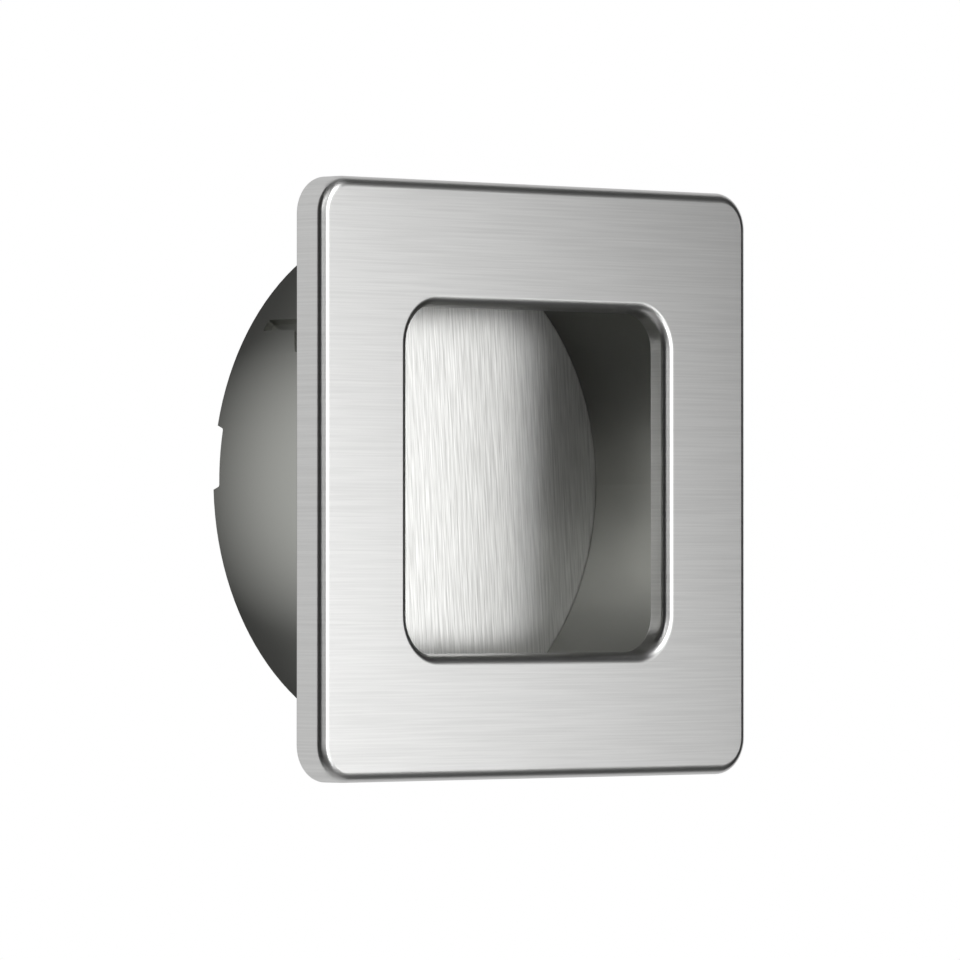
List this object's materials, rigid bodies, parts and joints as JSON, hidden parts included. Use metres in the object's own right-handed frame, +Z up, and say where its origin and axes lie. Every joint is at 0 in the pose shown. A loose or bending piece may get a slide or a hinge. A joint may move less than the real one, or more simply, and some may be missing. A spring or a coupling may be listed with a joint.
{
  "type": "flush pull",
  "caption": "Square flush pull for a sliding door: a brushed face plate with a rounded square opening over a wider round housing, closed by a brushed floor disc.",
  "frame": {"origin": "on the housing's axis, in the plane of the door's face where the plate's back bears", "axes": "+Y runs into the door along the housing's axis, -Y faces the user, +Z is up, +X is to the right seen from the front"},
  "size_m": [0.065, 0.0212, 0.065],
  "materials": {
    "plate_steel": "satin, brushed along the plate's width",
    "housing_steel": "matt, bead-blasted",
    "floor_steel": "coarsely brushed from top to bottom"
  },
  "bodies": {
    "root": {"face_plate": "plate_steel", "housing_tube": "housing_steel", "floor_disc": "floor_steel"}
  },
  "joints": []
}
